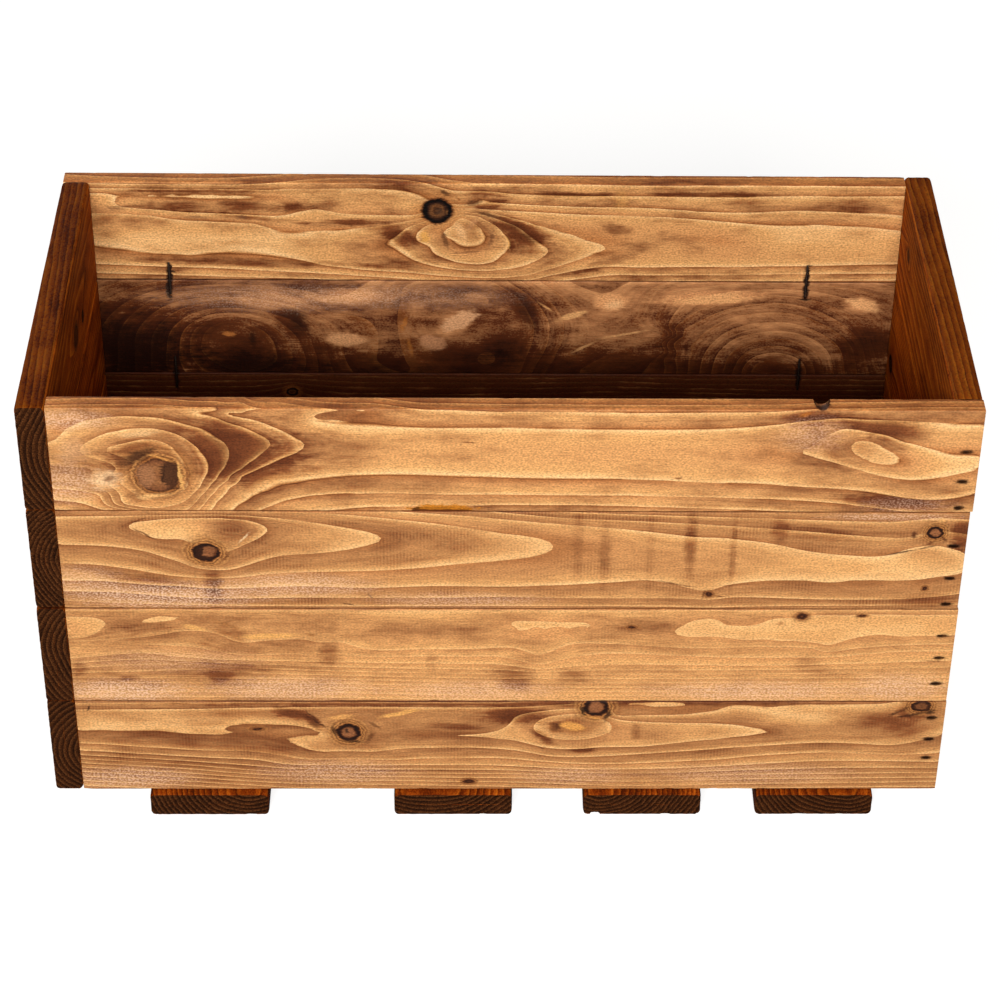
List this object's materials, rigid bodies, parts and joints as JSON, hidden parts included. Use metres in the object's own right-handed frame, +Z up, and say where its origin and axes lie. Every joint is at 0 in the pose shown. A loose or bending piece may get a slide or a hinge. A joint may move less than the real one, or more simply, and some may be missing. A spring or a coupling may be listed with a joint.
{
  "type": "trough planter",
  "caption": "Long open timber planting box of stacked boards lapped round its corners, standing on cross slats that serve as feet.",
  "frame": {"origin": "on the ground, below the middle of the trough", "axes": "+X along the trough to its right-hand end, +Y from the front wall to the back wall, +Z up"},
  "size_m": [0.7, 0.332, 0.398],
  "materials": {
    "side_board_timber": "planed softwood, golden brown preservative stain, satin",
    "end_board_timber": "planed softwood, deep brown preservative stain, satin",
    "slat_timber": "planed softwood, deep brown preservative stain, sawn ends",
    "floor_timber": "planed softwood, brown preservative stain, satin",
    "staple_wire": "zinc-coated steel wire, dulled"
  },
  "bodies": {
    "root": {"front_board_1": "side_board_timber", "front_board_2": "side_board_timber", "front_board_3": "side_board_timber", "front_board_4": "side_board_timber", "back_board_1": "side_board_timber", "back_board_2": "side_board_timber", "back_board_3": "side_board_timber", "back_board_4": "side_board_timber", "left_end_board_1": "end_board_timber", "left_end_board_2": "end_board_timber", "left_end_board_3": "end_board_timber", "left_end_board_4": "end_board_timber", "right_end_board_1": "end_board_timber", "right_end_board_2": "end_board_timber", "right_end_board_3": "end_board_timber", "right_end_board_4": "end_board_timber", "base_slat_1": "slat_timber", "base_slat_2": "slat_timber", "base_slat_3": "slat_timber", "base_slat_4": "slat_timber", "floor_board_1": "floor_timber", "floor_board_2": "floor_timber", "floor_board_3": "floor_timber", "front_right_corner_staples": "staple_wire", "front_left_corner_staples": "staple_wire", "back_left_corner_staples": "staple_wire", "back_right_corner_staples": "staple_wire", "front_tie_staples": "staple_wire", "back_tie_staples": "staple_wire", "base_staples": "staple_wire", "floor_staples": "staple_wire"}
  },
  "joints": []
}
